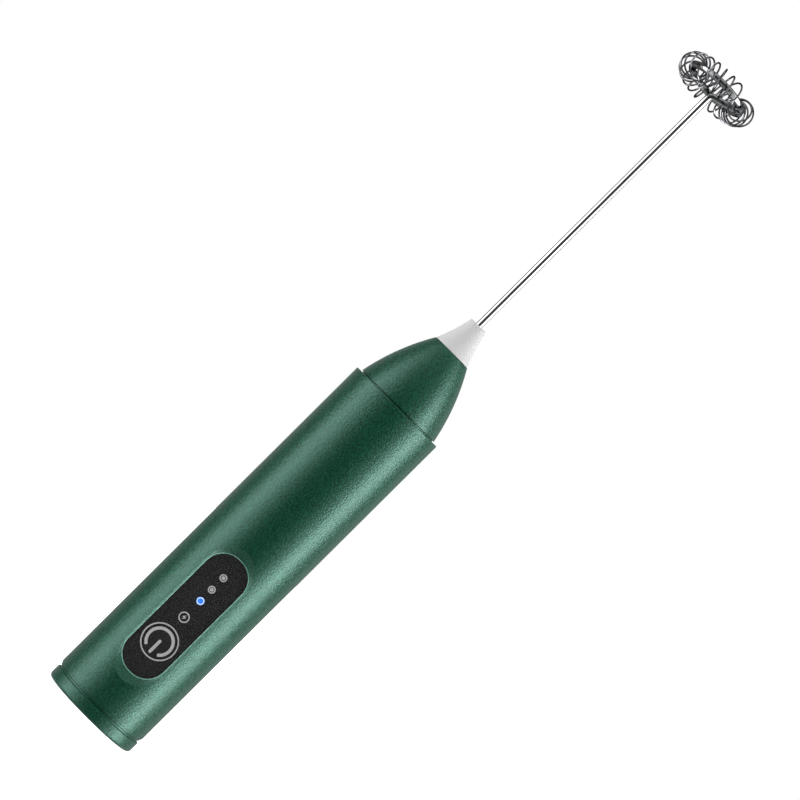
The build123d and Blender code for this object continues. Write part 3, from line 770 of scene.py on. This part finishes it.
def ink_ring(outer, line, middle, gap_degrees=0.0):
    """A printed ring about a centre on the plate, open downward by the gap."""
    bm = bmesh.new()
    gap = math.radians(gap_degrees)
    start = Matrix.Rotation(gap / 2, 3, "Y")
    ends = [bm.verts.new(start @ Vector((0, 0, -r * MM))) for r in (outer - line, outer)]
    edge = bm.edges.new(ends)
    made = bmesh.ops.spin(
        bm, geom=[*ends, edge], cent=(0, 0, 0), axis=(0, 1, 0), angle=2 * math.pi - gap,
        steps=72, use_merge=gap == 0,
    )
    if gap:
        tips = ends + [item for item in made["geom_last"] if isinstance(item, bmesh.types.BMVert)]
        bmesh.ops.bevel(
            bm, geom=tips, offset=line * 0.48 * MM, segments=5, profile=0.5, affect="VERTICES", material=-1
        )
    bmesh.ops.translate(bm, vec=(0, mark_level * MM, middle * MM), verts=bm.verts)
    return thicken(bm)


def ink_bar(width, low, high):
    """A printed upright bar with round ends."""
    bm = bmesh.new()
    rounded_outline(bm, width, high - low, width * 0.45, mark_level, (low + high) / 2)
    return thicken(bm)


def ink_bolt(middle, size):
    """A small lightning sign."""
    outline = [(0.15, 0.5), (-0.32, -0.08), (-0.02, -0.08), (-0.15, -0.5), (0.32, 0.1), (0.02, 0.1)]
    bm = bmesh.new()
    corners = [bm.verts.new((x * size * MM, mark_level * MM, (middle + z * size) * MM)) for x, z in outline]
    bm.faces.new(corners)
    return thicken(bm)


def light_dot(middle, radius):
    """A round window set level with the plate."""
    bm = bmesh.new()
    made = bmesh.ops.create_circle(bm, cap_ends=True, segments=32, radius=radius * MM)
    stand_up(bm, made["verts"])
    bmesh.ops.translate(bm, vec=(0, mark_level * MM, middle * MM), verts=made["verts"])
    return thicken(bm)


# %% Place the marks on the plate
speed_marks = [panel_low.z + height for height in (33.7, 29.5, 25.4)]
charge_mark = panel_low.z + 19.5
thin_line, power_line = 0.33, 0.82

for number, height in enumerate(speed_marks, start=1):
    lit = number == len(speed_marks)
    finish_piece(
        ink_ring(1.02, thin_line, height), f"speed_ring_{number}", "handle",
        LIT_INK if lit else INK,
    )
    finish_piece(
        light_dot(height, 0.72 if lit else 0.5), f"speed_light_{number}", "handle",
        LIT_WINDOW if lit else INK,
    )
finish_piece(ink_ring(1.47, thin_line, charge_mark), "charge_ring", "handle", INK)
finish_piece(ink_bolt(charge_mark, 1.75), "charge_bolt", "handle", INK)
finish_piece(ink_ring(5.0, 0.36, button_middle), "key_ring", "handle", INK)
finish_piece(ink_ring(3.91, power_line, button_middle, 68.0), "power_arc", "button", INK)
finish_piece(
    ink_bar(power_line, button_middle - 3.9, button_middle + 0.5), "power_bar", "button", INK
)

# %% [markdown]
# ## Finishes for the works inside
#
# The parts inside are never polished for show, but each still has its own look: blasted steel,
# sintered bronze, enamelled copper, moulded nylon, solder mask. One function covers them, with
# each material's two tones, grain size and shine taken from what it is made of.

# %% Materials of the hidden parts
def plain_finish(name, roughness, metallic, dark, light, grain_mm, depth_mm):
    material, tree, shader, place = new_finish(name, roughness, metallic)
    grain = two_tone(tree, shader, place, grain_mm, dark, light)
    relief(tree, shader, grain, depth_mm, 0.4)
    return material


# Each row gives what the eye gets: roughness, metallic, two tones, grain size and depth in mm.
HIDDEN_LOOKS = {
    "rolled_steel_sheet": (0.32, 1.0, "#8b8d8f", "#a9abac", 0.8, 0.004),
    "zinc_plated_screw": (0.28, 1.0, "#a3a7ab", "#c3c6c8", 0.3, 0.004),
    "sintered_bronze": (0.5, 1.0, "#8a5c2c", "#a87840", 0.15, 0.01),
    "enamelled_copper": (0.25, 1.0, "#9c4a22", "#c4693a", 0.25, 0.02),
    "phosphor_bronze_strip": (0.3, 1.0, "#a8753c", "#c28e50", 0.5, 0.004),
    "nickel_strip": (0.3, 1.0, "#a8a294", "#c4bfb1", 0.6, 0.004),
    "sintered_ferrite": (0.6, 0.0, "#232427", "#34363a", 0.1, 0.01),
    "pressed_carbon": (0.55, 0.0, "#17171a", "#28282b", 0.1, 0.01),
    "electrical_steel": (0.4, 1.0, "#5a5c60", "#77797c", 0.35, 0.01),
    "green_solder_mask": (0.3, 0.0, "#0c3d22", "#125030", 1.5, 0.01),
    "moulded_black_nylon": (0.5, 0.0, "#161617", "#232325", 0.4, 0.01),
    "moulded_grey_abs": (0.48, 0.0, "#85888b", "#96999b", 0.6, 0.01),
    "natural_nylon": (0.42, 0.0, "#d6d2c6", "#e4e1d7", 0.8, 0.01),
    "blue_shrink_sleeve": (0.25, 0.0, "#173f8f", "#1f4fa8", 3.0, 0.02),
    "nitrile_rubber": (0.65, 0.0, "#1a1a1a", "#262626", 0.3, 0.015),
    "red_silicone_wire": (0.5, 0.0, "#8f1414", "#a81d1d", 0.6, 0.01),
    "acrylic_foam_tape": (0.7, 0.0, "#a9a79f", "#bdbbb3", 0.3, 0.02),
    "diode_lens": (0.2, 0.0, "#d8d4bd", "#ece9d8", 0.4, 0.005),
    "smoked_acrylic": (0.2, 0.0, "#2b2c2e", "#3a3b3d", 1.0, 0.003),
}
HIDDEN = {name: plain_finish(name, *look) for name, look in HIDDEN_LOOKS.items()}

FINISH_OF_NODE = {
    "control_panel": PLATE, "power_button": PLATE,
    "light_guide": HIDDEN["smoked_acrylic"], "panel_tape": HIDDEN["acrylic_foam_tape"],
    "switch_plunger": HIDDEN["moulded_black_nylon"], "switch_body": HIDDEN["moulded_black_nylon"],
    "circuit_board": HIDDEN["green_solder_mask"], "frame_screws": HIDDEN["zinc_plated_screw"],
    "indicator_leds": HIDDEN["diode_lens"], "control_chips": HIDDEN["moulded_black_nylon"],
    "charging_socket": HIDDEN["nickel_strip"], "socket_tongue": HIDDEN["moulded_black_nylon"],
    "battery_cell": HIDDEN["blue_shrink_sleeve"], "cell_tabs": HIDDEN["nickel_strip"],
    "cell_leads": HIDDEN["red_silicone_wire"], "chassis": HIDDEN["moulded_grey_abs"],
    "motor_can": HIDDEN["rolled_steel_sheet"], "motor_end_bell": HIDDEN["natural_nylon"],
    "motor_magnets": HIDDEN["sintered_ferrite"], "motor_bushes": HIDDEN["sintered_bronze"],
    "motor_terminals": HIDDEN["phosphor_bronze_strip"], "motor_brushes": HIDDEN["pressed_carbon"],
    "motor_leads": HIDDEN["red_silicone_wire"], "motor_sleeve": HIDDEN["nitrile_rubber"],
    "motor_plate": HIDDEN["rolled_steel_sheet"], "motor_screws": HIDDEN["zinc_plated_screw"],
    "nose_bushing": HIDDEN["sintered_bronze"], "shaft_seal": HIDDEN["nitrile_rubber"],
    "motor_shaft": HIDDEN["rolled_steel_sheet"], "armature_core": HIDDEN["electrical_steel"],
    "armature_windings": HIDDEN["enamelled_copper"], "commutator": HIDDEN["enamelled_copper"],
    "drive_coupler": HIDDEN["natural_nylon"],
}

for node, finish in FINISH_OF_NODE.items():
    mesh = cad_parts[node].data
    mesh.materials.clear()
    mesh.materials.append(finish)
print("finishes given to", len(FINISH_OF_NODE), "carried-over nodes")

# %% [markdown]
# ## The studio
#
# The object stands on a pale floor in front of white. A mirror-like rod shows what is around it,
# so the studio matters: two tall soft lights left and right of the camera, a dim room behind, and a
# dark gap where the camera stands, which draws the black line down the rod. The world is
# that studio for reflections and light, and plain white where the camera looks straight at it.

# %% Studio world
def grey_ramp(tree, factor, low, high, stops):
    """A grey ramp over a quantity that runs from low to high. Its stops are (quantity, level)."""
    share = add_node(tree, "ShaderNodeMapRange", {"Value": factor, "From Min": low, "From Max": high})
    ramp = add_node(tree, "ShaderNodeValToRGB", {"Fac": share.outputs["Result"]})
    elements = ramp.color_ramp.elements
    while len(elements) < len(stops):
        elements.new(0.5)
    for element, (quantity, level) in zip(elements, stops):
        element.position = (quantity - low) / (high - low)
        element.color = (level, level, level, 1)
    return ramp.outputs["Color"]


# The soft lights by heading, in degrees from the camera, and by height above the horizon.
AROUND = [
    (-180, 0.029), (-145, 0.043), (-122, 0.014), (-108, 0.0), (-94, 0.014), (-88, 0.25),
    (-84, 0.393), (-66, 0.393), (-54, 0.157), (-37, 0.107), (-32, 0.0), (32, 0.0),
    (42, 0.071), (62, 0.121), (71, 0.429), (77, 1.0), (90, 1.0), (94, 0.214),
    (97, 0.014), (116, 0.014), (126, 0.064), (142, 0.064), (160, 0.029), (180, 0.029),
]
UPWARD = [(-90, 0.1), (-45, 0.2), (-28, 1.0), (20, 1.0), (32, 0.5), (46, 0.15), (90, 0.05)]
SOFTBOX_LEVEL = 10.6
# The white table below, a dim room, and a soft light overhead.
ROOM = [(-90, 0.4), (-30, 0.3), (-12, 0.05), (20, 0.05), (50, 0.4), (90, 1.0)]
ROOM_TOP = 1.0


def studio_world():
    world = bpy.data.worlds.new("studio")
    bpy.context.scene.world = world
    world.use_nodes = True
    tree = world.node_tree
    tree.nodes.clear()
    direction = add_node(tree, "ShaderNodeTexCoord").outputs["Generated"]
    split = add_node(tree, "ShaderNodeSeparateXYZ", {"Vector": direction})
    forward = add_node(tree, "ShaderNodeMath", {0: split.outputs["Y"], 1: -1.0}, operation="MULTIPLY")
    heading = add_node(
        tree, "ShaderNodeMath", {0: split.outputs["X"], 1: forward.outputs[0]}, operation="ARCTAN2"
    )
    height = add_node(tree, "ShaderNodeMath", {0: split.outputs["Z"]}, operation="ARCSINE")
    around = grey_ramp(
        tree, heading.outputs[0], -math.pi, math.pi, [(math.radians(d), level) for d, level in AROUND]
    )
    upward = grey_ramp(
        tree, height.outputs[0], -math.pi / 2, math.pi / 2,
        [(math.radians(d), level) for d, level in UPWARD],
    )
    room = grey_ramp(
        tree, height.outputs[0], -math.pi / 2, math.pi / 2,
        [(math.radians(d), level / ROOM_TOP) for d, level in ROOM],
    )
    boxes = add_node(tree, "ShaderNodeMath", {0: around, 1: upward}, operation="MULTIPLY")
    lights = add_node(tree, "ShaderNodeMath", {0: boxes.outputs[0], 1: SOFTBOX_LEVEL}, operation="MULTIPLY")
    level = add_node(
        tree, "ShaderNodeMath", {0: room, 1: ROOM_TOP, 2: lights.outputs[0]}, operation="MULTIPLY_ADD"
    )
    studio = add_node(tree, "ShaderNodeBackground", {"Color": (1, 1, 1, 1), "Strength": level.outputs[0]})
    plain = add_node(tree, "ShaderNodeBackground", {"Color": (1, 1, 1, 1), "Strength": 1.0})
    path = add_node(tree, "ShaderNodeLightPath")
    mix = add_node(
        tree, "ShaderNodeMixShader",
        {0: path.outputs["Is Camera Ray"], 1: studio.outputs[0], 2: plain.outputs[0]},
    )
    add_node(tree, "ShaderNodeOutputWorld", {"Surface": mix.outputs[0]})


studio_world()
print("studio world ready")

# %% Pale floor
def pale_floor():
    # Matte painted board: white with the faintest mottling.
    board, tree, shader, place = new_finish(
        "matte_white_board", 0.9, Emission_Color=(1, 1, 1, 1), Emission_Strength=1.1
    )
    two_tone(tree, shader, place, 40.0, "#f3f3f3", "#f8f8f8")
    bm = bmesh.new()
    bmesh.ops.create_circle(bm, cap_ends=True, segments=96, radius=1.5)
    mesh = bpy.data.meshes.new("floor")
    bm.to_mesh(mesh)
    bm.free()
    mesh.materials.append(board)
    floor = bpy.data.objects.new("floor", mesh)
    bpy.context.scene.collection.objects.link(floor)
    floor.visible_glossy = False
    floor.visible_diffuse = False


pale_floor()
print("floor ready")

# %% [markdown]
# ## The camera
#
# A long lens far away keeps the tube's sides parallel. The camera looks level at the handle and is
# rolled, so the frother lies across the frame from lower left to upper right.

# %% Place the camera
def place_camera(distance=1.315, aim=(-0.00073, 0.0, 0.1141), azimuth=1.1, roll=45.18, lens=229.0):
    data = bpy.data.cameras.new("camera")
    camera = bpy.data.objects.new("camera", data)
    bpy.context.scene.collection.objects.link(camera)
    turn = math.radians(azimuth)
    back = Vector((math.sin(turn), -math.cos(turn), 0))
    side = Vector((math.cos(turn), math.sin(turn), 0))
    lean = math.radians(roll)
    right = side * math.cos(lean) + UP * math.sin(lean)
    up = UP * math.cos(lean) - side * math.sin(lean)
    rotation = Matrix((right, up, back)).transposed()
    camera.matrix_world = Matrix.Translation(Vector(aim) + back * distance) @ rotation.to_4x4()
    data.sensor_width = 36.0
    data.lens = lens
    data.clip_start = 0.05
    data.clip_end = 20.0
    bpy.context.scene.camera = camera


place_camera()
bpy.context.scene.view_settings.view_transform = "Standard"
print("camera at", [round(c, 3) for c in bpy.context.scene.camera.location])
